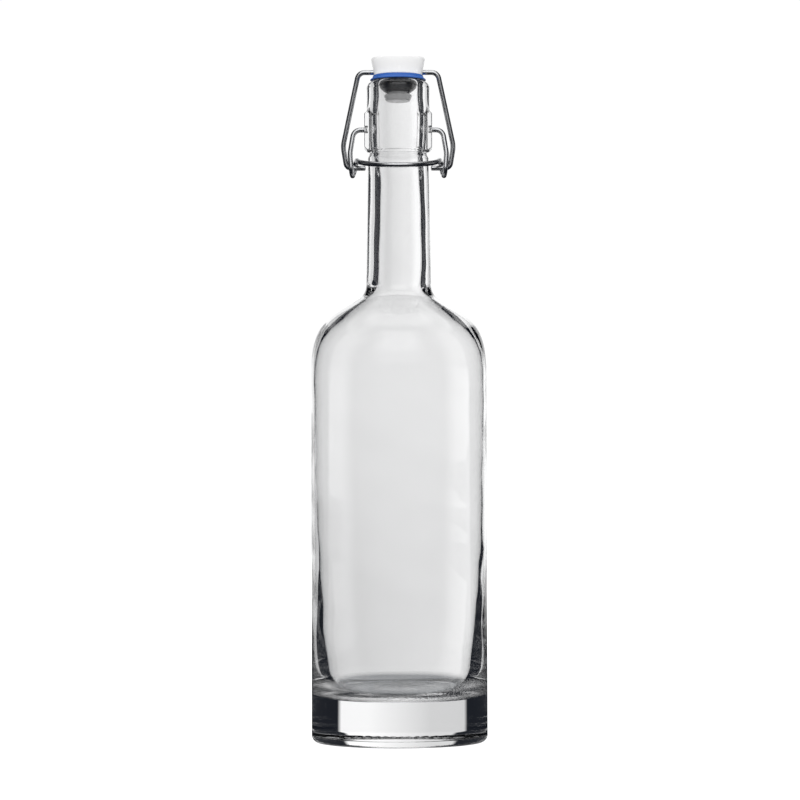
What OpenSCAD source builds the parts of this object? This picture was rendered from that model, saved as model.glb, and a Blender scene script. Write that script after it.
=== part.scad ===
// Swing-top bottle: a tall glass bottle with a heavy base, closed by a stopper
// that hangs on a wire bail and is pulled down by a wire lever.
// Millimetres, +Z up, front towards -Y. The origin is the centre of the base,
// on the surface that the bottle stands on. The closure is drawn shut.

/* [Body] */
// Outside diameter of the body
body_d = 80; // [76:1:90]
// Height at which the shoulder starts to turn in
shoulder_z = 168.8; // [150:0.2:168.8]
// Glass left at the middle of the base
base_thick = 19.5; // [16:0.5:21]
// Rounding of the bottom edge
foot_r = 4; // [2:0.5:5]
// Depth of the shallow dome under the base
push_up = 1.8; // [1:0.1:3]

/* [Neck] */
// Outside diameter at the foot of the neck
neck_foot_d = 29.6; // [29:0.1:30]
// Outside diameter just under the finish
neck_top_d = 27.8; // [27.2:0.1:28]
// Outside diameter of the finish, the thick collar at the mouth
finish_d = 28.8; // [28.6:0.1:29]
// Inside diameter of the mouth
bore_d = 18; // [17.8:0.1:18.2]
// Height of the mouth above the base
mouth_z = 301.7; // [301.6:0.05:301.75]

/* [Side bosses] */
// Distance across the two flat boss faces
boss_span = 31; // [30.6:0.1:31.2]
// Width of a boss from front to back
boss_w = 13; // [10:0.5:14]
// Diameter of the blind socket that holds a lever end
socket_d = 3.6; // [3:0.1:4]
// Depth of the socket
socket_deep = 1.8; // [1.7:0.1:2]

/* [Wires] */
// Diameter of both wires
wire_d = 2.3; // [2:0.1:2.4]
// Radius of the lever's eyes, at the middle of the wire
eye_r = 3.45; // [3.4:0.05:3.5]
// How far the eyes sit behind the sockets when the closure is locked
over_centre = 1.6; // [1.2:0.1:1.8]

/* [Stopper] */
// Diameter across the top of the stopper's head
head_top_d = 24.8; // [24:0.1:25.4]
// Diameter of the head where it meets the gasket
head_foot_d = 22.2; // [21.6:0.1:22.4]
// Height of the head's side
head_h = 8; // [7:0.1:9]
// Rise of the domed top
head_dome = 0.9; // [0.5:0.1:1.2]
// Diameter across the gasket's lip
gasket_d = 25.6; // [25:0.1:26]
// Gap kept between the gasket and the glass
seal_gap = 0.2; // [0.15:0.05:0.3]

/* [Hidden] */

// Lathe and curve fineness
round_fn = 96;
curve_steps = 12;
corner_steps = 6;

body_r = body_d / 2;
neck_foot_r = neck_foot_d / 2;
neck_top_r = neck_top_d / 2;
finish_r = finish_d / 2;
bore_r = bore_d / 2;

// Base: the bearing ring lies between the dome and the rounded foot
ring_in_r = body_r - 7;
ring_out_r = body_r - foot_r;

// Shoulder: one curve that meets the neck fillet at its own slope
slope = 33;
fillet_out_r = 7.7;
fillet_in_r = 14.8;
shoulder_wall = 3;
fillet_z = shoulder_z + 39.35;
shoulder_end = [neck_foot_r + fillet_out_r * (1 - sin(slope)), fillet_z - fillet_out_r * cos(slope)];
cavity_end = shoulder_end - shoulder_wall * [sin(slope), cos(slope)];
neck_bore_foot_r = cavity_end[0] - fillet_in_r * (1 - sin(slope));
neck_bore_z = cavity_end[1] + fillet_in_r * cos(slope);
neck_bore_top_r = bore_r - 0.4;

// Walls: thin at the shoulder, thick at the base
wall_top = 1.8;
wall_mid = 3.7;
wall_low = 7.4;
cavity_low_z = base_thick + 14.5;
cavity_high_z = shoulder_z - 18;

// Finish
finish_z = 269.6;
finish_step = 1.2;
lip_r = 3.3;
mouth_r = 1.6;
neck_bore_top_z = 262;
mouth_bore_z = 285;

// Bosses
boss_low_z = 270;
boss_high_z = 287.3;
boss_chamfer = 1;
boss_face = boss_span / 2;

// Hinge lines, all parallel to X
socket_z = 279.4;
eye_y = over_centre;
eye_z = 262;
bail_z = 305.8;

// A bend draws the wire a hair thinner than the straights, which lap over its ends
bend_thinning = 0.03;
bend_lap = 0.05;

// Stopper and gasket heights
gasket_low_z = mouth_z + seal_gap;
head_low_z = bail_z - 1.5;
head_high_z = head_low_z + head_h;
bail_hole_d = wire_d + 0.2;
stem_r = 4.5;
button_r = 6.4;
button_high_z = 295.4;
button_low_z = 292.6;
plug_low_z = 296.4;
plug_low_r = 6.1;
plug_r = bore_r - 0.5;

// ---------- curves ----------

// Point at t on the cubic curve with control points p
function bezier_at(p, t) =
    pow(1 - t, 3) * p[0] + 3 * pow(1 - t, 2) * t * p[1] + 3 * (1 - t) * t * t * p[2] + pow(t, 3) * p[3];

// Points after the first on the cubic curve p
function bezier(p, steps) = [for (i = [1:steps]) bezier_at(p, i / steps)];

// Points on an arc about c from angle a0 to a1
function arc(c, r, a0, a1, steps) =
    [for (i = [0:steps]) let (a = a0 + (a1 - a0) * i / steps) c + r * [cos(a), sin(a)]];

// ---------- bent wire ----------

function unit(v) = v / norm(v);

// Angle that a path turns through at b, on its way from a to c
function turn_at(a, b, c) = acos(unit(b - a) * unit(c - b));

// Length that the bend at point i takes from the straight on each side
function trim_at(path, bends, i) =
    (i == 0 || i == len(path) - 1) ? 0
    : bends[i] * tan(turn_at(path[i - 1], path[i], path[i + 1]) / 2);

// The path's mirror image in the YZ plane, run backwards
function mirrored(path) = [for (i = [len(path) - 1:-1:0]) [-path[i][0], path[i][1], path[i][2]]];

function reversed(list) = [for (i = [len(list) - 1:-1:0]) list[i]];

// Straight rod from a to b
module rod(a, b) {
    v = b - a;
    translate(a)
        rotate([0, acos(v[2] / norm(v)), atan2(v[1], v[0])])
            cylinder(h = norm(v), d = wire_d, $fn = 32);
}

// Bend of radius r that rounds the corner b
module elbow(a, b, c, r) {
    u = unit(a - b);
    v = unit(c - b);
    half = turn_at(a, b, c) / 2;
    centre = b + unit(u + v) * r / cos(half);
    x = unit(b + u * r * tan(half) - centre);
    y = -u;
    z = cross(x, y);
    multmatrix([
        [x[0], y[0], z[0], centre[0]],
        [x[1], y[1], z[1], centre[1]],
        [x[2], y[2], z[2], centre[2]]
    ])
        rotate_extrude(angle = 2 * half, $fn = 72)
            translate([r, 0])
                circle(d = wire_d - bend_thinning, $fn = 32);
}

// Wire along path, with a bend radius for each inner point
module bent_wire(path, bends) {
    for (i = [0:len(path) - 2]) {
        along = unit(path[i + 1] - path[i]);
        from = max(0, trim_at(path, bends, i) - bend_lap);
        to = max(0, trim_at(path, bends, i + 1) - bend_lap);
        rod(path[i] + along * from, path[i + 1] - along * to);
    }
    for (i = [1:len(path) - 2])
        elbow(path[i - 1], path[i], path[i + 1], bends[i]);
}

// ---------- bottle ----------

// Outer outline, from the middle of the base to the edge of the mouth
outer_outline = concat(
    [for (i = [0:corner_steps]) let (r = ring_in_r * i / corner_steps)
        [r, push_up * (1 - pow(r / ring_in_r, 2))]],
    arc([ring_out_r, foot_r], foot_r, -90, 0, corner_steps),
    [[body_r, shoulder_z]],
    bezier([
        [body_r, shoulder_z],
        [body_r, shoulder_z + 22.9],
        shoulder_end + 14.8 * [cos(slope), -sin(slope)],
        shoulder_end
    ], curve_steps),
    arc([neck_foot_r + fillet_out_r, fillet_z], fillet_out_r, 270 - slope, 180, corner_steps),
    [[neck_top_r, finish_z - finish_step]],
    [[finish_r, finish_z]],
    arc([finish_r - lip_r, mouth_z - lip_r], lip_r, 0, 90, corner_steps),
    arc([bore_r + mouth_r, mouth_z - mouth_r], mouth_r, 90, 180, corner_steps)
);

// Inner outline, from the mouth down to the middle of the cavity floor
inner_outline = concat(
    [[bore_r, mouth_bore_z]],
    [[neck_bore_top_r, neck_bore_top_z]],
    arc([neck_bore_foot_r + fillet_in_r, neck_bore_z], fillet_in_r, 180, 270 - slope, corner_steps),
    bezier([
        cavity_end,
        cavity_end + 14.8 * [cos(slope), -sin(slope)],
        [body_r - wall_top, shoulder_z + 20],
        [body_r - wall_top, shoulder_z - 2]
    ], curve_steps),
    [[body_r - wall_top, cavity_high_z]],
    bezier([
        [body_r - wall_top, cavity_high_z],
        [body_r - wall_top - 0.2, cavity_high_z - 50],
        [body_r - wall_mid, cavity_low_z + 26],
        [body_r - wall_low, cavity_low_z]
    ], curve_steps),
    bezier([
        [body_r - wall_low, cavity_low_z],
        [body_r - wall_low - 1, cavity_low_z - 7],
        [body_r - wall_low - 2.6, base_thick + 0.7],
        [body_r - 19, base_thick + 0.2]
    ], curve_steps),
    [[0, base_thick]]
);

// Upright outline of one boss, flat in front and chamfered above and below
module boss() {
    rotate([90, 0, 0])
        translate([0, 0, -boss_w / 2])
            linear_extrude(height = boss_w)
                polygon([
                    [bore_r + mouth_r, boss_low_z],
                    [boss_face - boss_chamfer, boss_low_z],
                    [boss_face, boss_low_z + boss_chamfer],
                    [boss_face, boss_high_z - boss_chamfer],
                    [boss_face - boss_chamfer, boss_high_z],
                    [bore_r + mouth_r, boss_high_z]
                ]);
}

module socket() {
    translate([boss_face - socket_deep, 0, socket_z])
        rotate([0, 90, 0])
            cylinder(h = 2 * socket_deep, d = socket_d, $fn = 48);
}

module bottle() {
    color("lightcyan", 0.5)
        difference() {
            union() {
                rotate_extrude($fn = round_fn)
                    polygon(concat(outer_outline, inner_outline));
                boss();
                mirror([1, 0, 0]) boss();
            }
            socket();
            mirror([1, 0, 0]) socket();
        }
}

// ---------- lever ----------

// From the right-hand socket, down the leg, once round the eye and forward
// along the arm to the middle of the thumb loop in front of the neck
lever_half = [
    [boss_face - socket_deep + 0.2, 0, socket_z],
    [20.3, 0, socket_z],
    [22.1, -0.97, 268.5],
    [21.3, eye_y - eye_r, eye_z - eye_r],
    [20.7, eye_y + eye_r, eye_z - eye_r],
    [19.2, eye_y + eye_r, eye_z + eye_r + 1],
    [18.2, -9.6, 263.05],
    [0, -17.4, 261.25]
];
lever_bends = [0, 3, 12, eye_r, eye_r, eye_r, 16, 21.5];

module lever_wire() {
    last = len(lever_half) - 1;
    color("silver")
        bent_wire(
            concat(lever_half, [for (i = [1:last]) mirrored(lever_half)[i]]),
            concat(lever_bends, [for (i = [1:last]) reversed(lever_bends)[i]])
        );
}

// ---------- bail ----------

// Depth of the bail at height z: it leans from the stopper back to the eyes
function bail_y(z) = eye_y * (bail_z - z) / (bail_z - eye_z);

// From the middle of the stopper, down the right leg and into the eye
bail_half = [
    [18.1, 0, bail_z],
    [25.3, bail_y(272), 272],
    [23.65, eye_y, eye_z],
    [14.9, eye_y, eye_z]
];
bail_bends = [2.5, 12, 2.6, 0];

module bail_wire() {
    color("silver")
        bent_wire(concat(mirrored(bail_half), bail_half), concat(reversed(bail_bends), bail_bends));
}

// ---------- stopper ----------

// One piece: domed head, stem through the gasket, and the button that holds it
stopper_outline = concat(
    [[0, button_low_z]],
    [[button_r - 1.4, button_low_z]],
    arc([button_r - 1.4, button_low_z + 0.9], 0.9, -90, -10, corner_steps),
    [[button_r, button_high_z - 0.3]],
    [[button_r - 0.3, button_high_z]],
    [[stem_r, button_high_z]],
    [[stem_r, head_low_z]],
    [[head_foot_d / 2, head_low_z]],
    bezier([
        [head_foot_d / 2, head_low_z],
        [head_foot_d / 2, head_low_z + 0.4 * head_h],
        [head_top_d / 2, head_high_z - 0.35 * head_h],
        [head_top_d / 2, head_high_z - 0.6]
    ], curve_steps),
    [[head_top_d / 2 - 0.4, head_high_z]],
    [for (i = [curve_steps - 1:-1:0]) let (r = (head_top_d / 2 - 0.4) * i / curve_steps)
        [r, head_high_z + head_dome * (1 - pow(r / (head_top_d / 2 - 0.4), 2))]]
);

module stopper() {
    color("white")
        difference() {
            rotate_extrude($fn = round_fn)
                polygon(stopper_outline);
            translate([0, 0, bail_z])
                rotate([0, 90, 0])
                    cylinder(h = head_top_d + 2, d = bail_hole_d, center = true, $fn = 48);
        }
}

// ---------- gasket ----------

// Ring with a thin outer lip over the glass and a cone that plugs the mouth
gasket_outline = [
    [stem_r, plug_low_z],
    [plug_low_r - 0.3, plug_low_z],
    [plug_low_r, plug_low_z + 0.3],
    [plug_r - 0.8, mouth_z - 3.5],
    [plug_r - 0.3, mouth_z - 2.3],
    [plug_r, mouth_z - 0.5],
    [bore_r + 0.8, gasket_low_z],
    [gasket_d / 2 - 0.4, gasket_low_z],
    [gasket_d / 2, gasket_low_z + 0.4],
    [gasket_d / 2 - 0.1, gasket_low_z + 0.8],
    [head_foot_d / 2 + 0.5, head_low_z - 0.4],
    [head_foot_d / 2, head_low_z],
    [stem_r, head_low_z]
];

module gasket() {
    color("royalblue")
        rotate_extrude($fn = round_fn)
            polygon(gasket_outline);
}

bottle();
lever_wire();
bail_wire();
stopper();
gasket();
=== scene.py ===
import math
import bpy
import numpy as np
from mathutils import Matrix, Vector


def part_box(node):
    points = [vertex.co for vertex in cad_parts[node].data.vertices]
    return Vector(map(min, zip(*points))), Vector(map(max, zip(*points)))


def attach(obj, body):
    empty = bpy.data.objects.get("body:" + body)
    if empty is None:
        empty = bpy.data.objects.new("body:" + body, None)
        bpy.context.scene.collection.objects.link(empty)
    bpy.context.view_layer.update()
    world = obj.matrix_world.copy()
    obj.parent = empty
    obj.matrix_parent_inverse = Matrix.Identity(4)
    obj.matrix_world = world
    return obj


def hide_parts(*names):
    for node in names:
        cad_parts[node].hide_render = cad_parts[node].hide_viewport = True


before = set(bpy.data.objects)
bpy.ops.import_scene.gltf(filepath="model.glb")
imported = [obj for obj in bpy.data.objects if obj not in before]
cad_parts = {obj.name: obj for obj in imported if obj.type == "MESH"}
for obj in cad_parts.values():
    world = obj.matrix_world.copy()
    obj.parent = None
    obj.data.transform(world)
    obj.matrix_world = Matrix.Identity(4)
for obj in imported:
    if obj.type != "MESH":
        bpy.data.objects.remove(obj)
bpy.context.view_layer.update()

mm = 0.001
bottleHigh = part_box("bottle")[1]


# every outline is an array of (radius, height) rows in millimetres

def cubic(p0, p1, p2, p3, steps):
    # Bezier: (1-t)^3 p0 + 3(1-t)^2 t p1 + 3(1-t) t^2 p2 + t^3 p3, without its first point
    t = np.linspace(0, 1, steps + 1)[1:, None]
    p0, p1, p2, p3 = (np.array(p, float) for p in (p0, p1, p2, p3))
    return (1 - t)**3 * p0 + 3 * (1 - t)**2 * t * p1 + 3 * (1 - t) * t**2 * p2 + t**3 * p3


def bend(centre, radius, start, end, steps):
    # circle arc: centre + radius (cos a, sin a) for a from start to end, in degrees
    a = np.radians(np.linspace(start, end, steps + 1))
    return np.array(centre) + radius * np.stack([np.cos(a), np.sin(a)], 1)


def straight(start, end, steps):
    # evenly spaced points from start to end, without the first
    t = np.linspace(0, 1, steps + 1)[1:, None]
    return np.array(start, float) * (1 - t) + np.array(end, float) * t


def smooth(x):
    # 3x^2 - 2x^3 on 0..1, flat outside
    x = np.clip(x, 0, 1)
    return x * x * (3 - 2 * x)


def ringFaces(rows, cols):
    # quads between neighbouring rings of points, and a fan of triangles to the single point
    # before the first ring and after the last
    i, j = np.meshgrid(np.arange(rows - 1), np.arange(cols), indexing="ij")
    k = (j + 1) % cols
    quads = 1 + np.stack([i * cols + j, i * cols + k, (i + 1) * cols + k, (i + 1) * cols + j], -1)
    j = np.arange(cols)
    k = (j + 1) % cols
    lastRing = 1 + (rows - 1) * cols
    fans = np.concatenate([
        np.stack([k + 1, j + 1, np.zeros_like(j)], 1),
        np.stack([lastRing + j, lastRing + k, np.full_like(j, 1 + rows * cols)], 1),
    ])
    return quads.reshape(-1, 4).tolist() + fans.tolist()


def lathe(name, outline, angles, shape=None):
    # rows of the outline turned about Z: (r cos a, r sin a, z), with one point at each pole.
    # shape(r, z, a) may return a changed r and z for the whole grid
    r, a = np.meshgrid(outline[1:-1, 0], angles, indexing="ij")
    z = np.repeat(outline[1:-1, 1:2], len(angles), 1)
    if shape:
        r, z = shape(r, z, a)
    ring = np.stack([r * np.cos(a), r * np.sin(a), z], -1).reshape(-1, 3)
    first = [[0, 0, outline[0, 1]]]
    last = [[0, 0, outline[-1, 1]]]
    points = np.concatenate([first, ring, last]) * mm
    return newPiece(name, points, ringFaces(*r.shape))


def newPiece(name, points, faces):
    mesh = bpy.data.meshes.new(name)
    mesh.from_pydata(np.asarray(points).tolist(), [], faces)
    mesh.shade_smooth()
    mesh.update()
    piece = bpy.data.objects.new(name, mesh)
    bpy.context.scene.collection.objects.link(piece)
    return piece


def roundedPath(corners, bends, step):
    # straights joined by arcs: each corner is cut back by r tan(turn / 2) and bridged by an arc of radius r
    corners = np.array(corners, float)
    unit = lambda v: v / np.linalg.norm(v)
    path = [corners[0][None]]
    for i in range(1, len(corners) - 1):
        u = unit(corners[i - 1] - corners[i])
        v = unit(corners[i + 1] - corners[i])
        half = math.acos(np.clip(-u @ v, -1, 1)) / 2
        centre = corners[i] + unit(u + v) * bends[i] / math.cos(half)
        x = unit(corners[i] + u * bends[i] * math.tan(half) - centre)
        a = np.linspace(0, 2 * half, max(4, int(bends[i] * 2 * half / step)))[:, None]
        path.append(centre + bends[i] * (np.cos(a) * x - np.sin(a) * u))
    path.append(corners[-1][None])
    path = np.concatenate(path)
    gap = np.linalg.norm(np.diff(path, axis=0), axis=1)
    run = np.concatenate([[0], np.cumsum(gap)])
    even = np.linspace(0, run[-1], int(run[-1] / step) + 1)
    return np.stack([np.interp(even, run, path[:, k]) for k in range(3)], 1), even


def wirePiece(name, path, run, radius, sides):
    # circle carried along the path: path + r (cos b side + sin b lift), r shrinking to rounded ends.
    # side turns as little as it can from one point to the next, so the tube doesn't twist
    tangent = np.gradient(path, axis=0)
    tangent /= np.linalg.norm(tangent, axis=1)[:, None]
    side = np.empty_like(path)
    side[0] = np.cross(tangent[0], [0, 1, 0] if abs(tangent[0][1]) < 0.9 else [1, 0, 0])
    side[0] /= np.linalg.norm(side[0])
    for i in range(1, len(path)):
        side[i] = side[i - 1] - tangent[i] * (side[i - 1] @ tangent[i])
        side[i] /= np.linalg.norm(side[i])
    lift = np.cross(tangent, side)
    fromEnd = np.minimum(run, run[-1] - run)
    cap = 0.5 * radius
    r = radius - cap + np.sqrt(np.clip(cap**2 - np.clip(cap - fromEnd, 0, cap)**2, 0, None))
    b = np.linspace(0, 2 * math.pi, sides, endpoint=False)
    ring = (path[:, None] + r[:, None, None] * (np.cos(b)[None, :, None] * side[:, None]
            + np.sin(b)[None, :, None] * lift[:, None]))
    points = np.concatenate([path[:1], ring.reshape(-1, 3), path[-1:]]) * mm
    piece = newPiece(name, points, ringFaces(len(path), sides))
    # the run along the wire and the way round it, kept on the points for the drawn finish
    along = np.concatenate([run[:1], np.repeat(run, sides), run[-1:]])
    around = np.concatenate([[0], np.tile(b, len(path)), [0]])
    drawn = np.stack([along, 3 * np.cos(around), 3 * np.sin(around)], 1)
    piece.data.attributes.new("drawn", "FLOAT_VECTOR", "POINT").data.foreach_set("vector", drawn.ravel())
    return piece


class Tap:
    # one output of a node tree; sums and products of taps add Math nodes
    def __init__(self, tree, out=None):
        self.tree = tree
        self.out = out

    def node(self, kind, settings=None, values=None, output=0):
        # any node: settings first, then the value or link of each named or numbered input
        made = self.tree.nodes.new(kind)
        for key, value in (settings or {}).items():
            if key == "stops":
                ramp = made.color_ramp
                while len(ramp.elements) < len(value):
                    ramp.elements.new(0.5)
                for spot, (place, colour) in zip(ramp.elements, value):
                    spot.position = place
                    spot.color = colour
            else:
                setattr(made, key, value)
        for key, value in (values or {}).items():
            if isinstance(value, Tap):
                self.tree.links.new(value.out, made.inputs[key])
            else:
                made.inputs[key].default_value = value
        return Tap(self.tree, made.outputs[output]) if made.outputs else made

    def maths(self, operation, a, b=0.0, clamp=False):
        return self.node("ShaderNodeMath", {"operation": operation, "use_clamp": clamp}, {0: a, 1: b})

    def __add__(self, other):
        return self.maths("ADD", self, other)

    def __sub__(self, other):
        return self.maths("SUBTRACT", self, other)

    def __rsub__(self, other):
        return self.maths("SUBTRACT", other, self)

    def __mul__(self, other):
        return self.maths("MULTIPLY", self, other)

    def __truediv__(self, other):
        return self.maths("DIVIDE", self, other)

    def clamped(self):
        return self.maths("ADD", self, 0.0, True)

    __radd__ = __add__
    __rmul__ = __mul__


def newMaterial(name):
    material = bpy.data.materials.new(name)
    material.use_nodes = True
    material.node_tree.nodes.clear()
    return material, Tap(material.node_tree)


def spots(tap, scale, detail, coords, stretch=(1, 1, 1)):
    # cloud of noise from 0 to 1 on the given coordinates
    placed = tap.node("ShaderNodeMapping", None, {"Vector": coords, "Scale": stretch})
    return tap.node("ShaderNodeTexNoise", None, {"Vector": placed, "Scale": scale, "Detail": detail})


def band(value, low, high, soft):
    # 1 between low and high, fading over soft at both ends
    return ((value - low) / soft + 0.5).clamped() * ((high - value) / soft + 0.5).clamped()


def blended(tap, share, first, second):
    return tap.node("ShaderNodeMix", {"data_type": "RGBA"}, {0: share, 6: first, 7: second}, 2)


def finished(material, tap, values):
    surface = tap.node("ShaderNodeBsdfPrincipled", None, values)
    tap.node("ShaderNodeOutputMaterial", None, {"Surface": surface})
    return material


def bumped(tap, height, strength, distance):
    return tap.node("ShaderNodeBump", None, {"Height": height, "Strength": strength, "Distance": distance})


print("stage: frame loaded")

# millimetres and degrees; heights are from the foot
bottle = {
    "bodyR": bottleHigh[0] / mm,
    "mouthZ": bottleHigh[2] / mm,
    "pushUp": 1.8,  # the hollow under the base
    "ringWidth": 3,  # the flat ring that the bottle stands on
    "footR": 3.3,
    "seamZ": 4.9,
    "shoulderZ": 168.8,
    "coneAngle": 33,
    "coneHandle": 14.8,  # how far the shoulder follows the cone
    "coneWall": 3.0,
    "filletR": 7.7,
    "innerFilletR": 14.8,
    "filletRise": 39.35,  # centre of the neck fillet above the shoulder
    "wall": 1.8,
    "heelWall": 7.4,
    "heelRise": 14.5,
    "evenWallBelow": 18,  # the wall is even down to here, then thickens to the heel
    "floorR": 21,
    "neckFootR": 14.8,
    "neckTopR": 13.9,
    "grooveDeep": 0.8,
    "grooveZ": 268.3,
    "beadR": 0.4,
    "beadZ": 269.75,
    "boreSwell": 0.6,  # the bore is wider inside the finish
    "finishR": 14.4,
    "boreR": 9.0,
    "lipR": 3.3,
    "mouthR": 1.6,
    "floorZ": 19.5,
    "bossFace": 15.5,
    "bossHalf": 6.5,
    "bossLow": 270.0,
    "bossHigh": 287.3,
    "socketZ": 279.4,
    "socketR": 1.8,
    "socketDeep": 1.75,  # blind holes for the ends of the lever
    "wallWave": 0.2,
    "waves": [(1, 2, 0.051, 0.6), (0.8, 3, -0.083, 2.1), (0.7, 1, 0.17, 4.0), (0.45, 5, 0.29, 1.2)],
    "neckWave": 0.45,
    "settleWave": 0.03,
    "floorRipple": 0.16,
    "seamHigh": 0.03,
    "seamHalf": 0.22,
    "edgeSoft": 0.25,  # blend of the bosses into the finish
    "boreShift": 0.55,  # the bore stands a little off centre in the neck
    "ribPitch": 3.6,  # one rib of the bearing ring
    "ribHigh": 0.07,
    "ringDashes": 190,
}


def bottleOutline(b):
    # outside from the middle of the base to the mouth, then the inside down to the cavity floor
    slope = math.radians(b["coneAngle"])
    ringIn = b["bodyR"] - b["footR"] - b["ringWidth"]
    ringOut = b["bodyR"] - b["footR"]
    filletR = b["filletR"]
    innerR = b["innerFilletR"]
    filletZ = b["shoulderZ"] + b["filletRise"]
    # the shoulder runs into a cone, and the cone into the neck by a fillet, outside and in
    along = np.array([math.cos(slope), -math.sin(slope)])
    normal = np.array([math.sin(slope), math.cos(slope)])
    end = np.array([b["neckFootR"] + filletR, filletZ]) - filletR * normal
    inEnd = end - b["coneWall"] * normal
    boreFoot = inEnd[0] - innerR * (1 - math.sin(slope))
    innerZ = inEnd[1] + innerR * math.cos(slope)
    t = np.linspace(0, 1, 9)
    dome = np.stack([ringIn * t, b["pushUp"] * (1 - t**2)], 1)
    wallR = b["bodyR"] - b["wall"]
    lowR = b["bodyR"] - b["heelWall"]
    lowZ = b["floorZ"] + b["heelRise"]
    highZ = b["shoulderZ"] - b["evenWallBelow"]
    grooveR = b["neckTopR"] - b["grooveDeep"]
    swellR = b["boreR"] + b["boreSwell"]
    fillet = (b["neckFootR"] + filletR, filletZ)
    # the finish is straight, with closer rows at the edges of the bosses and round the sockets
    finishRows = [b["beadZ"], b["bossLow"] + 1.6, b["socketZ"] - 2.2, b["socketZ"] + 2.2,
                  b["bossHigh"] - 1.5, b["bossHigh"] + 0.5, b["mouthZ"] - b["lipR"]]
    finishWall = [
        straight((b["finishR"], low), (b["finishR"], high), steps)
        for low, high, steps in zip(finishRows, finishRows[1:], (9, 6, 22, 5, 9, 4))]
    outside = [
        dome,
        straight((ringIn, 0), (ringOut, 0), 6),
        bend((ringOut, b["footR"]), b["footR"], -90, 0, 12)[1:],
        straight((b["bodyR"], b["footR"]), (b["bodyR"], b["footR"] + 2), 12),
        straight((b["bodyR"], b["footR"] + 2), (b["bodyR"], b["shoulderZ"]), 22),
        cubic((b["bodyR"], b["shoulderZ"]), (b["bodyR"], b["shoulderZ"] + 22.9),
              end + b["coneHandle"] * along, end, 26),
        bend(fillet, filletR, 270 - b["coneAngle"], 180, 12)[1:],
        straight((b["neckFootR"], filletZ), (b["neckTopR"], 265.8), 14),
        cubic((b["neckTopR"], 265.8), (b["neckTopR"], 267.2), (grooveR, 267.2), (grooveR, b["grooveZ"]), 7),
        cubic((grooveR, b["grooveZ"]), (grooveR, 269.2), (b["neckTopR"] - 0.2, 269.1),
              (b["finishR"] - b["beadR"], b["beadZ"] - b["beadR"]), 6),
        bend((b["finishR"] - b["beadR"], b["beadZ"]), b["beadR"], -80, 0, 5),
        *finishWall,
        bend((b["finishR"] - b["lipR"], b["mouthZ"] - b["lipR"]), b["lipR"], 0, 90, 12)[1:],
        bend((b["boreR"] + b["mouthR"], b["mouthZ"] - b["mouthR"]), b["mouthR"], 90, 180, 9),
    ]
    inside = [
        straight((b["boreR"], b["mouthZ"] - b["mouthR"]), (b["boreR"], 296.5), 3),
        cubic((b["boreR"], 296.5), (b["boreR"], 293), (swellR, 292), (swellR, 284), 8),
        cubic((swellR, 284), (swellR, 274), (b["boreR"] - 0.1, 272), (b["boreR"] - 0.1, 264), 8),
        cubic((b["boreR"] - 0.1, 264), (b["boreR"] - 0.1, 245), (boreFoot, 230), (boreFoot, innerZ), 16),
        bend((boreFoot + innerR, innerZ), innerR, 180, 270 - b["coneAngle"], 12)[1:],
        cubic(inEnd, inEnd + b["coneHandle"] * along,
              (wallR, b["shoulderZ"] + 20), (wallR, b["shoulderZ"] - 2), 26),
        straight((wallR, b["shoulderZ"] - 2), (wallR, highZ), 4),
        cubic((wallR, highZ), (wallR - 0.2, highZ - 50), (b["bodyR"] - 3.7, lowZ + 26), (lowR, lowZ), 26),
        cubic((lowR, lowZ), (lowR - 1, lowZ - 7), (lowR - 2.6, b["floorZ"] + 0.7),
              (b["floorR"], b["floorZ"] + 0.2), 20),
        straight((b["floorR"], b["floorZ"] + 0.2), (0, b["floorZ"]), 7),
    ]
    rows = np.concatenate(outside + inside)
    innerFrom = sum(len(part) for part in outside)
    return rows, innerFrom


outline, innerFrom = bottleOutline(bottle)
isInner = np.arange(1, len(outline) - 1) >= innerFrom
# the columns stand closer together over the sockets and bosses on both sides
nearSocket = np.radians(np.linspace(-8, 8, 33))
nearBoss = np.radians(np.linspace(8, 30, 19))[1:]
openSide = np.radians(np.linspace(30, 150, 68))[1:-1]
quarterTurn = np.concatenate([nearSocket, nearBoss, openSide, math.pi - nearBoss[::-1]])
columns = np.sort(np.concatenate([quarterTurn, quarterTurn + math.pi]))


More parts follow.
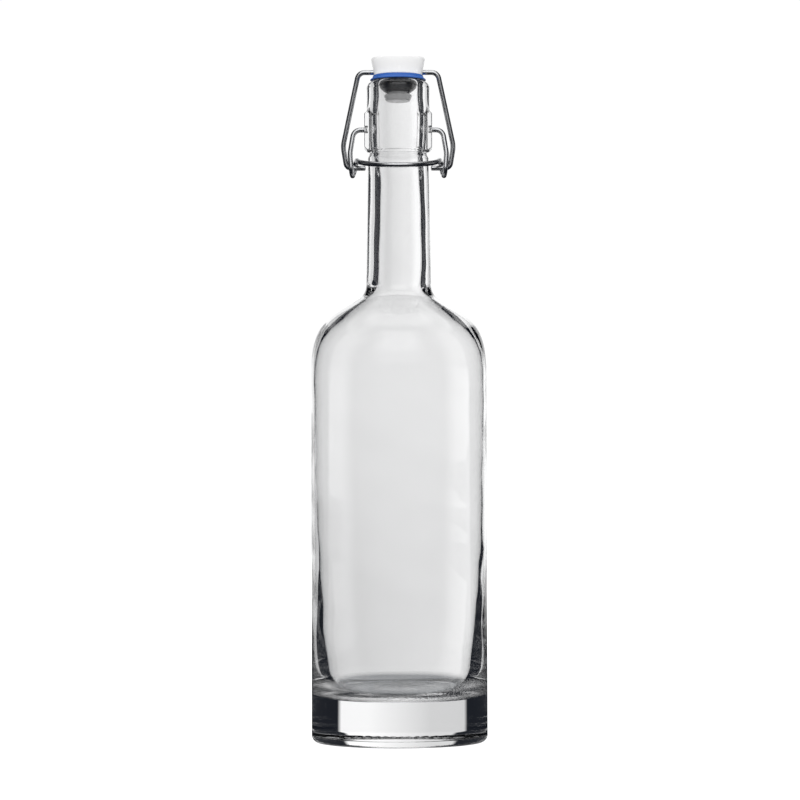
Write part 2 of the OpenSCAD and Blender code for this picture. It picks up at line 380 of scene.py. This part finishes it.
def bottleShape(r, z, a):
    b = bottle
    inner = isInner[:, None] & np.ones_like(r, bool)
    # bosses: the smaller of the face at x = face and the sides at y = half,
    # joined softly to the round finish
    cosA = np.maximum(np.abs(np.cos(a)), 1e-3)
    sinA = np.maximum(np.abs(np.sin(a)), 1e-3)
    level = np.minimum(z - b["bossLow"], b["bossHigh"] - z)
    face = b["bossFace"] - 1 + np.clip(level, -1.2, 1)
    pad = face / cosA
    wall = b["bossHalf"] / sinA
    soft = b["edgeSoft"]
    pad = 0.5 * (pad + wall - np.sqrt((pad - wall)**2 + soft**2))
    lifted = 0.5 * (r + pad + np.sqrt((r - pad)**2 + soft**2)) - soft / 8
    onFinish = ~inner & (level > -0.4)
    # sockets: a round pit on the face
    across = b["bossFace"] * np.tan(np.clip(np.arctan2(sinA, cosA), 0, 1.2))
    off = np.hypot(across, z - b["socketZ"])
    pit = b["socketDeep"] * smooth((b["socketR"] + 0.12 - off) / 0.24)
    r = np.where(onFinish, np.maximum(lifted, r) - pit, r)
    # blown wall: slow swells that wander round and up the inside, strongest in the body.
    # each wave is share * sin(turns * a + climb * z + start)
    body = smooth((z - 22) / 30) * (0.35 + 0.65 * smooth((172 - z) / 15)) * smooth((205 - z) / 20)
    neck = smooth((z - 205) / 10) * smooth((292 - z) / 10)
    swell = sum(
        share * np.sin(turns * a + climb * z + start) for share, turns, climb, start in b["waves"]) / 2
    r = r + inner * b["wallWave"] * (body + b["neckWave"] * neck) * swell
    # the bore wanders a little to one side down the neck
    r = r + inner * b["boreShift"] * smooth((z - 205) / 12) * smooth((268 - z) / 12) * np.cos(a)
    # floor: faint rings left in the thick glass
    ripple = b["floorRipple"] * np.sin(r * 0.55 + 0.8 * np.sin(2 * a + 1))
    ripple = ripple * smooth((r - 3) / 8) * smooth((31 - r) / 5)
    z = z + np.where(inner & (z < b["floorZ"] + 6), ripple, 0)
    # outside: a slight settle wave, the base seam and the stippled bearing ring
    outer = ~inner & (z < 200)
    r = r + outer * smooth((z - 8) / 20) * b["settleWave"] * np.sin(4 * a + 0.11 * z)
    seam = b["seamHigh"] * np.exp(-((z - b["seamZ"]) / b["seamHalf"])**2)
    seam = seam * smooth(0.5 - 0.9 * np.cos(a - 0.6))
    turn = a / math.radians(b["ribPitch"])
    rib = np.abs((turn % 1) * 2 - 1) - 0.5
    ringR = b["bodyR"] - b["footR"]
    onRing = outer * smooth((r - ringR + 3) / 1.2) * smooth((b["footR"] * 0.55 - z) / 1.2)
    r = r + outer * seam * (np.abs(z - b["seamZ"]) < 1)
    z = z + onRing * b["ribHigh"] * (rib + 0.5)
    return np.where(outer, np.minimum(r, b["bodyR"]), r), z


glassBottle = lathe("glass_bottle", outline, columns, bottleShape)
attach(glassBottle, "bottle")
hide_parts("bottle")
print("stage: bottle", len(glassBottle.data.vertices), "points")

wires = {
    "radius": 1.145,
    "sides": 28,
    "step": 0.28,
    "socketZ": 279.4,
    "eyeY": 1.6,
    "eyeZ": 262.0,
    "eyeR": 3.45,  # middle of the wire, round the eye
    "bailZ": 305.8,
}
w = wires
# from the socket down one side, round the eye, and out to the middle of the thumb loop
leverHalf = [
    (13.9, 0, w["socketZ"]),
    (20.3, 0, w["socketZ"]),
    (22.1, -0.97, 268.5),
    (21.3, w["eyeY"] - w["eyeR"], w["eyeZ"] - w["eyeR"]),
    (20.7, w["eyeY"] + w["eyeR"], w["eyeZ"] - w["eyeR"]),
    (19.2, w["eyeY"] + w["eyeR"], w["eyeZ"] + w["eyeR"] + 1),
    (18.2, -9.6, 263.05),
    (0, -17.4, 261.25),
]
leverBends = [0, 3.6, 12, w["eyeR"], w["eyeR"], w["eyeR"], 16, 21.5]
# from the head down one side and in through the eye
bailHalf = [
    (18.1, 0, w["bailZ"]),
    (25.3, w["eyeY"] * (w["bailZ"] - 272) / (w["bailZ"] - w["eyeZ"]), 272),
    (23.65, w["eyeY"], w["eyeZ"]),
    (14.9, w["eyeY"], w["eyeZ"]),
]
bailBends = [3.4, 12, 2.6, 0]


def mirrorX(corners):
    # the same corners on the other side, in the opposite order
    return [(-x, y, z) for x, y, z in corners[::-1]]


leverCorners = leverHalf + mirrorX(leverHalf)[1:]
bailCorners = mirrorX(bailHalf) + bailHalf
leverPath, leverRun = roundedPath(leverCorners, leverBends + leverBends[::-1][1:], w["step"])
bailPath, bailRun = roundedPath(bailCorners, bailBends[::-1] + bailBends, w["step"])
leverPiece = wirePiece("lever_wire_drawn", leverPath, leverRun, w["radius"], w["sides"])
bailPiece = wirePiece("bail_wire_drawn", bailPath, bailRun, w["radius"], w["sides"])
for piece, body, node in ((leverPiece, "lever", "lever_wire"), (bailPiece, "bail", "bail_wire")):
    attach(piece, body)
    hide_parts(node)
print("stage: wires")

stopper = {
    "topR": 12.4,
    "footR": 11.1,
    "footZ": 304.3,
    "topZ": 312.3,
    "dome": 0.88,
    "rimR": 0.55,
    "stemR": 4.5,
    "buttonR": 6.4,
    "buttonLow": 292.6,  # the button holds the gasket on
    "buttonHigh": 295.4,
    "holeR": 1.25,
    "holeZ": 305.8,
}
s = stopper
head = np.concatenate([
    [[0, s["buttonLow"]]],
    straight((0, s["buttonLow"]), (s["buttonR"] - 1.9, s["buttonLow"]), 4),
    bend((s["buttonR"] - 1.6, s["buttonLow"] + 1.1), 1.1, -90, -12, 8),
    straight((s["buttonR"] - 0.5, s["buttonLow"] + 1.0), (s["buttonR"], s["buttonHigh"] - 0.7), 4),
    bend((s["buttonR"] - 0.4, s["buttonHigh"] - 0.4), 0.4, -10, 90, 6),
    straight((s["buttonR"] - 0.4, s["buttonHigh"]), (s["stemR"], s["buttonHigh"]), 3),
    straight((s["stemR"], s["buttonHigh"]), (s["stemR"], s["footZ"]), 6),
    straight((s["stemR"], s["footZ"]), (s["footR"] - 0.35, s["footZ"]), 5),
    bend((s["footR"] - 0.35, s["footZ"] + 0.35), 0.35, -90, 0, 5)[1:],
    cubic((s["footR"], s["footZ"] + 0.35), (s["footR"] + 0.25, s["footZ"] + 3.6),
          (s["topR"] - 0.25, s["topZ"] - 3.2), (s["topR"], s["topZ"] - s["rimR"]), 18),
    bend((s["topR"] - s["rimR"], s["topZ"] - s["rimR"]), s["rimR"], 0, 80, 7)[1:],
])
t = np.linspace(1, 0, 17)[1:]
capR = head[-1, 0]
capZ = head[-1, 1]
domeRows = np.stack([capR * t, capZ + s["dome"] * (1 - t**2)], 1)
headOutline = np.concatenate([head, domeRows])
turn = np.linspace(0, 2 * math.pi, 144, endpoint=False)
stopperPiece = lathe("stopper_moulded", headOutline, turn)

# the cross hole is drilled along X through the head
drillPath, drillRun = roundedPath([(-15, 0, s["holeZ"]), (15, 0, s["holeZ"])], [0, 0], 1.0)
drill = wirePiece("drill", drillPath, drillRun, s["holeR"], 48)
cut = stopperPiece.modifiers.new("hole", "BOOLEAN")
cut.operation = "DIFFERENCE"
cut.object = drill
cut.solver = "EXACT"
drilled = bpy.data.meshes.new_from_object(stopperPiece.evaluated_get(bpy.context.evaluated_depsgraph_get()))
stopperPiece.modifiers.clear()
stopperPiece.data = drilled
bpy.data.objects.remove(drill)
drilled.set_sharp_from_angle(angle=math.radians(40))
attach(stopperPiece, "stopper")
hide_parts("stopper")

gasket = {
    "lipR": 12.78,
    "lipZ": 301.95,
    "neckR": 11.3,
    "topZ": 304.28,
    "plugR": 8.75,  # the plug stands in the mouth
    "plugZ": 298.2,
    "tipR": 6.1,
    "tipZ": 296.45,
    "holeR": 4.52,
}
g = gasket
seal = np.concatenate([
    straight((g["holeR"], g["tipZ"]), (g["tipR"] - 0.35, g["tipZ"]), 4),
    bend((g["tipR"] - 0.35, g["tipZ"] + 0.35), 0.35, -90, -40, 4)[1:],
    cubic((g["tipR"] - 0.08, g["tipZ"] + 0.13), (g["tipR"] + 1.2, g["tipZ"] + 0.9),
          (g["plugR"] - 0.5, g["plugZ"] - 0.6), (g["plugR"] - 0.25, g["plugZ"] + 0.6), 10),
    straight((g["plugR"] - 0.25, g["plugZ"] + 0.6), (g["plugR"], 300.9), 5),
    cubic((g["plugR"], 300.9), (g["plugR"] + 0.1, 301.7), (g["plugR"] + 0.5, g["lipZ"] - 0.1),
          (g["plugR"] + 1.3, g["lipZ"] - 0.06), 6),
    straight((g["plugR"] + 1.3, g["lipZ"] - 0.06), (g["lipR"] - 0.4, g["lipZ"]), 6),
    bend((g["lipR"] - 0.36, g["lipZ"] + 0.36), 0.36, -90, 60, 9)[1:],
    cubic((g["lipR"] - 0.18, g["lipZ"] + 0.67), (g["lipR"] - 0.6, g["lipZ"] + 1.05),
          (g["neckR"] + 0.45, g["lipZ"] + 1.2), (g["neckR"] + 0.3, g["topZ"] - 0.45), 9),
    bend((g["neckR"] - 0.05, g["topZ"] - 0.35), 0.35, 0, 90, 6),
    straight((g["neckR"] - 0.05, g["topZ"]), (g["holeR"], g["topZ"]), 6),
])
# a ring has no poles, so its two ends are joined down the bore
cols = len(turn)
r, a = np.meshgrid(seal[:, 0], turn, indexing="ij")
z = np.repeat(seal[:, 1:], cols, 1)
sealPoints = np.stack([r * np.cos(a), r * np.sin(a), z], -1).reshape(-1, 3) * mm
i, j = np.meshgrid(np.arange(len(seal)), np.arange(cols), indexing="ij")
k = (j + 1) % cols
n = (i + 1) % len(seal)
sealFaces = np.stack([i * cols + j, i * cols + k, n * cols + k, n * cols + j], -1).reshape(-1, 4)
gasketPiece = newPiece("gasket_moulded", sealPoints, sealFaces.tolist())
gasketPiece.data.set_sharp_from_angle(angle=math.radians(50))
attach(gasketPiece, "stopper")
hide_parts("gasket")
print("stage: stopper and gasket")

glassLook = {
    "clear": ((0.935, 0.935, 0.935, 1), (0.958, 0.958, 0.958, 1)),
    # painted shade: the cavity floor is coloured dark grey for the shade seen through the thick base
    "floor": (0.17, 0.18, 0.19, 1),
    "index": 1.52,
    "floorRough": 0.12,
    "ringRough": 0.2,
    "skinHigh": 0.05,
    "grainHigh": 0.5,
    "dashHigh": 0.12,
    "relief": 0.0004,
}


def clearGlass():
    material, tap = newMaterial("clear_glass")
    look = glassLook
    coords = tap.node("ShaderNodeTexCoord", None, None, "Object")
    cloud = spots(tap, 28, 2, coords, (1, 1, 0.35))
    clear = blended(tap, cloud, *look["clear"])
    skin = spots(tap, 160, 2, coords, (1, 1, 0.25))
    # the cavity floor and the bearing ring keep the fine grain of the mould
    grain = spots(tap, 900, 2, coords)
    acrossX, acrossY, height = (
        tap.node("ShaderNodeSeparateXYZ", None, {"Vector": coords}, axis) for axis in "XYZ")
    level = height / mm
    radius = tap.maths("SQRT", acrossX * acrossX + acrossY * acrossY) / mm
    inside = ((bottle["bodyR"] - 4 - radius) / 1.5).clamped()
    onFloor = band(level, bottle["floorZ"] - 2, bottle["floorZ"] + 5, 3) * inside
    onRing = ((1.7 - level) / 1.2).clamped()
    # stipple of the ring: sin of so many turns round the axis
    dashes = tap.maths("SINE", tap.maths("ARCTAN2", acrossX, acrossY) * bottle["ringDashes"]) * onRing
    # random clear tint, with painted shade: the cavity floor takes the dark floor colour in its place
    tintAndFloorShade = blended(tap, onFloor, clear, look["floor"])
    grained = tap.maths("MAXIMUM", onFloor * 0.8, onRing)
    relief = skin * (1 - grained) * look["skinHigh"] + grain * grained * look["grainHigh"]
    relief = relief + dashes * look["dashHigh"]
    return finished(material, tap, {
        "Base Color": tintAndFloorShade,
        "Roughness": onFloor * look["floorRough"] + onRing * look["ringRough"],
        "IOR": look["index"],
        "Transmission Weight": 1.0,
        "Normal": bumped(tap, relief, 1.0, look["relief"]),
    })


steelLook = {
    "tones": ((0.46, 0.465, 0.48, 1), (0.74, 0.745, 0.75, 1)),
    "smoothest": 0.14,
    "streakRough": 0.22,
    "relief": 0.00012,
}


def drawnSteel():
    # streaks run along the wire, and wide patches change its tone
    material, tap = newMaterial("drawn_steel")
    look = steelLook
    drawn = tap.node("ShaderNodeAttribute", {"attribute_name": "drawn"}, None, "Vector")
    streak = spots(tap, 1.6, 4, drawn, (0.12, 1, 1))
    patch = spots(tap, 0.35, 3, drawn, (0.6, 0.3, 0.3))
    tone = blended(tap, patch, *look["tones"])
    return finished(material, tap, {
        "Base Color": tone,
        "Metallic": 1.0,
        "Roughness": (look["smoothest"] + streak * look["streakRough"]).clamped(),
        "Normal": bumped(tap, streak, 0.25, look["relief"]),
    })


plasticLook = {
    "tones": ((0.90, 0.895, 0.895, 1), (0.93, 0.93, 0.928, 1)),
    "smoothest": 0.2,
    "cloudRough": 0.12,
    "coat": 0.4,
    "coatRough": 0.08,
    "relief": 0.0001,
}


def whitePlastic():
    material, tap = newMaterial("white_plastic")
    look = plasticLook
    coords = tap.node("ShaderNodeTexCoord", None, None, "Object")
    cloud = spots(tap, 90, 3, coords)
    fine = spots(tap, 900, 2, coords)
    tone = blended(tap, cloud, *look["tones"])
    return finished(material, tap, {
        "Base Color": tone,
        "Roughness": (look["smoothest"] + cloud * look["cloudRough"]).clamped(),
        "Coat Weight": look["coat"],
        "Coat Roughness": look["coatRough"],
        "Normal": bumped(tap, fine, 0.05, look["relief"]),
    })


rubberLook = {
    "blues": ((0.022, 0.095, 0.38, 1), (0.04, 0.14, 0.48, 1)),
    # painted shade: the colour of the plug below the lip, near black for the shade inside the neck
    "paintedPlugShade": (0.006, 0.008, 0.014, 1),
    "smoothest": 0.26,
    "fineRough": 0.15,
    "shine": 0.3,
    "relief": 0.00015,
}


def blueRubber():
    material, tap = newMaterial("blue_rubber")
    look = rubberLook
    coords = tap.node("ShaderNodeTexCoord", None, None, "Object")
    cloud = spots(tap, 120, 3, coords)
    fine = spots(tap, 1600, 2, coords)
    skin = blended(tap, cloud, *look["blues"])
    # painted shade: the plug below the lip is coloured near black, for the shade it stands in inside the
    # neck
    height = tap.node("ShaderNodeSeparateXYZ", None, {"Vector": coords}, "Z")
    # 1 above the lip, 0 on the plug, where the painted shade is put
    unshadedAboveLip = ((height - g["lipZ"] * mm) / 0.0006 + 0.4).clamped()
    tone = blended(tap, unshadedAboveLip, look["paintedPlugShade"], skin)
    return finished(material, tap, {
        "Base Color": tone,
        "Roughness": (look["smoothest"] + fine * look["fineRough"]).clamped(),
        "Specular IOR Level": look["shine"],
        "Normal": bumped(tap, fine, 0.12, look["relief"]),
    })


glassBottle.data.materials.append(clearGlass())
steel = drawnSteel()
leverPiece.data.materials.append(steel)
bailPiece.data.materials.append(steel)
stopperPiece.data.materials.clear()
stopperPiece.data.materials.append(whitePlastic())
gasketPiece.data.materials.append(blueRubber())
print("stage: finishes")

# turns and rises are in degrees, levels are light
studio = {
    "floorWide": 8.0,
    "floorSeen": 0.95,  # what the camera sees of the floor
    "floorFill": 0.35,  # what everything else gets from it
    "floorTone": (0.35, 0.35, 0.35, 1),
    "backLevel": 0.98,
    "backSlope": 0.014,  # more light to the right, per degree, up to slopeEnd
    "slopeEnd": 14,
    "backFade": 0.015,  # less light downwards, per degree
    "ceilingRise": 46,
    "ceilingDark": 0.6,
    "groundRise": -52,
    "groundDark": 0.5,
    "backEdge": (28, 27),  # left and right edge of the pale card behind the bottle
    "backEdgeLow": (37, 32),  # the same near the foot
    "backPinch": 19,  # how much the card narrows at its top and bottom
    "wingOut": (75, 73),  # outer edge of the black flags, above and near the foot
    "wingBase": 110,  # the flags reach further round at the foot
    "wingThin": 0.3,  # and let this much through at the front
    "flagRise": (-80, 46),
    "sideEnd": 98,
    "sideLevel": 1.2,
    "sideMirror": 0.1,  # what the wires mirror above the shoulder
    "topRise": 56,
    "topLevel": 1.3,
    "fillLow": 0.15,
    "fillLevel": 0.6,
    "fillHigh": 1.0,
    "softFill": 0.95,  # plain light on matt surfaces
    "neckShade": 0.5,  # how much of it the neck keeps off
    "frontMirror": 0.85,
    "dark": (0.011, 0.013, 0.018),
    "backdrop": (1.02, 1.02, 1.02, 1),
}


def flatSheet(name, corners):
    sheet = newPiece(name, corners, [(0, 1, 2, 3)])
    return sheet


def floorGlow():
    # bright to the camera, a softer fill to everything else
    material, tap = newMaterial("pale_floor")
    seen = tap.node("ShaderNodeLightPath", None, None, "Is Camera Ray")
    matt = tap.node("ShaderNodeBsdfDiffuse", None, {"Color": studio["floorTone"]})
    level = studio["floorFill"] + seen * (studio["floorSeen"] - studio["floorFill"])
    glow = tap.node("ShaderNodeEmission", None, {"Color": (1, 1, 1, 1), "Strength": level})
    both = tap.node("ShaderNodeAddShader", None, {0: matt, 1: glow})
    tap.node("ShaderNodeOutputMaterial", None, {"Surface": both})
    return material


half = studio["floorWide"] / 2
floor = flatSheet("floor", [(-half, -half, 0), (half, -half, 0), (half, half, 0), (-half, half, 0)])
floor.data.materials.append(floorGlow())
floor.visible_glossy = False
floor.visible_transmission = False


def softboxes():
    # light by direction, in degrees: turn is 0 straight behind the bottle and grows to the right,
    # rise is 0 at the horizon. Every edge is a clamped ramp: (value - edge) / softness
    world = bpy.data.worlds.new("studio")
    bpy.context.scene.world = world
    world.use_nodes = True
    world.node_tree.nodes.clear()
    tap = Tap(world.node_tree)
    b = studio
    look = tap.node("ShaderNodeTexCoord", None, None, "Generated")
    x, y, z = (tap.node("ShaderNodeSeparateXYZ", None, {"Vector": look}, axis) for axis in "XYZ")
    degrees = 180 / math.pi
    turn = tap.maths("ARCTAN2", x, y) * degrees
    rise = tap.maths("ARCSINE", z) * degrees
    wide = tap.maths("ABSOLUTE", turn)
    through, crossed, seen, soft, scattered, shone = (
        tap.node("ShaderNodeLightPath", None, None, kind)
        for kind in ("Is Transmission Ray", "Transmission Depth", "Is Camera Ray", "Is Diffuse Ray",
                     "Diffuse Depth", "Glossy Depth"))
    # two crossings lead in and out of thick glass, four through a wall, the hollow and the other wall
    solid = through * (3.5 - crossed).clamped()
    # the pale room brightens to the right and upwards
    held = tap.maths("MINIMUM", tap.maths("MAXIMUM", turn, -b["slopeEnd"]), b["slopeEnd"])
    slope = 1 + held * b["backSlope"]
    fade = 1 + tap.maths("MINIMUM", tap.maths("MAXIMUM", rise, -6.0) - 1.5, 0.0) * b["backFade"]
    ceiling = ((rise - b["ceilingRise"]) / 12).clamped() * b["ceilingDark"]
    ceiling = ceiling + ((b["groundRise"] - rise) / 10).clamped() * b["groundDark"]
    # the front of the room is dim to mirrored light, and what stands inside the neck
    # gets only a part of it
    front = ((wide - 95) / 20).clamped()
    mirrored = shone.clamped() * front * b["frontMirror"]
    shade = tap.maths("MAXIMUM", scattered.clamped() * b["neckShade"], mirrored)
    room = slope * fade * (1 - ceiling) * (1 - shade) * b["backLevel"]
    # black flags stand to both sides behind the bottle. Only light that stays in thick glass
    # meets them, so they draw its edges and leave the hollow parts clear
    low = ((2 - rise) / 5).clamped()
    pinch = (((-6 - rise) / 9).clamped() + ((rise - 18) / 12).clamped()) * b["backPinch"]
    left, right = (
        edge + low * (edgeLow - edge) - pinch for edge, edgeLow in zip(b["backEdge"], b["backEdgeLow"]))
    wing = b["wingOut"][0] + low * (b["wingOut"][1] - b["wingOut"][0])
    wing = wing + band(rise, -7.5, -3.2, 0.8) * b["wingBase"]
    card = band(turn, left * -1, right, 3)
    flags = (1 - card) * ((wing - wide) / 4 + 0.5).clamped() * band(rise, *b["flagRise"], 5)
    flags = flags * (1 - ((wide - 90) / 8).clamped() * b["wingThin"])
    # what the wires mirror from the sides is dim above the shoulder, so their edges draw dark
    high = ((rise - 2.4) / 1.5).clamped()
    tilt = 1 + (turn / 20).clamped() * 0.25 - (turn / -20).clamped() * 0.35
    sides = ((wide - wing) / 4 + 0.5).clamped() * ((b["sideEnd"] - wide) / 44 + 0.5).clamped()
    sides = sides * band(rise, -2.6, 50, 1.5) * ((1 - high) * tilt * b["sideLevel"] + high * b["sideMirror"])
    behind = card * band(rise, -2.4, 32, 1) * b["backLevel"]
    # the fill behind the camera grows with its height
    fill = ((rise - 4) / 3).clamped() * b["fillLevel"] + ((rise - 12) / 8).clamped() * b["fillHigh"]
    fill = ((wide - 140) / 20).clamped() * band(rise, -12, 50, 8) * (fill + b["fillLow"])
    overhead = ((rise - b["topRise"]) / 12).clamped() * b["topLevel"]
    boxes = behind + sides + overhead + fill
    plain = boxes + soft * b["softFill"]
    level = plain * (1 - through) + room * through * (1 - flags * solid)
    glow = tap.node("ShaderNodeCombineXYZ", None, {i: level + rest for i, rest in enumerate(b["dark"])})
    final = blended(tap, seen, glow, b["backdrop"])
    lit = tap.node("ShaderNodeBackground", None, {"Color": final})
    tap.node("ShaderNodeOutputWorld", None, {"Surface": lit})


softboxes()

view = {
    "away": 1.37,  # metres from the axis
    "height": 0.114,
    "across": 0.0004,
    "pitch": 1.74,
    "roll": 0.15,
    "lens": 135,
}
lensData = bpy.data.cameras.new("camera")
lensData.lens = view["lens"]
lensData.clip_start = 0.05
camera = bpy.data.objects.new("camera", lensData)
camera.location = (view["across"], -view["away"], view["height"])
camera.rotation_euler = (math.radians(90 + view["pitch"]), math.radians(view["roll"]), 0)
bpy.context.scene.collection.objects.link(camera)
bpy.context.scene.camera = camera

scene = bpy.context.scene
scene.view_settings.view_transform = "Standard"
scene.cycles.max_bounces = 32
scene.cycles.transmission_bounces = 28
scene.cycles.glossy_bounces = 16
scene.cycles.transparent_max_bounces = 16
print("stage: studio")
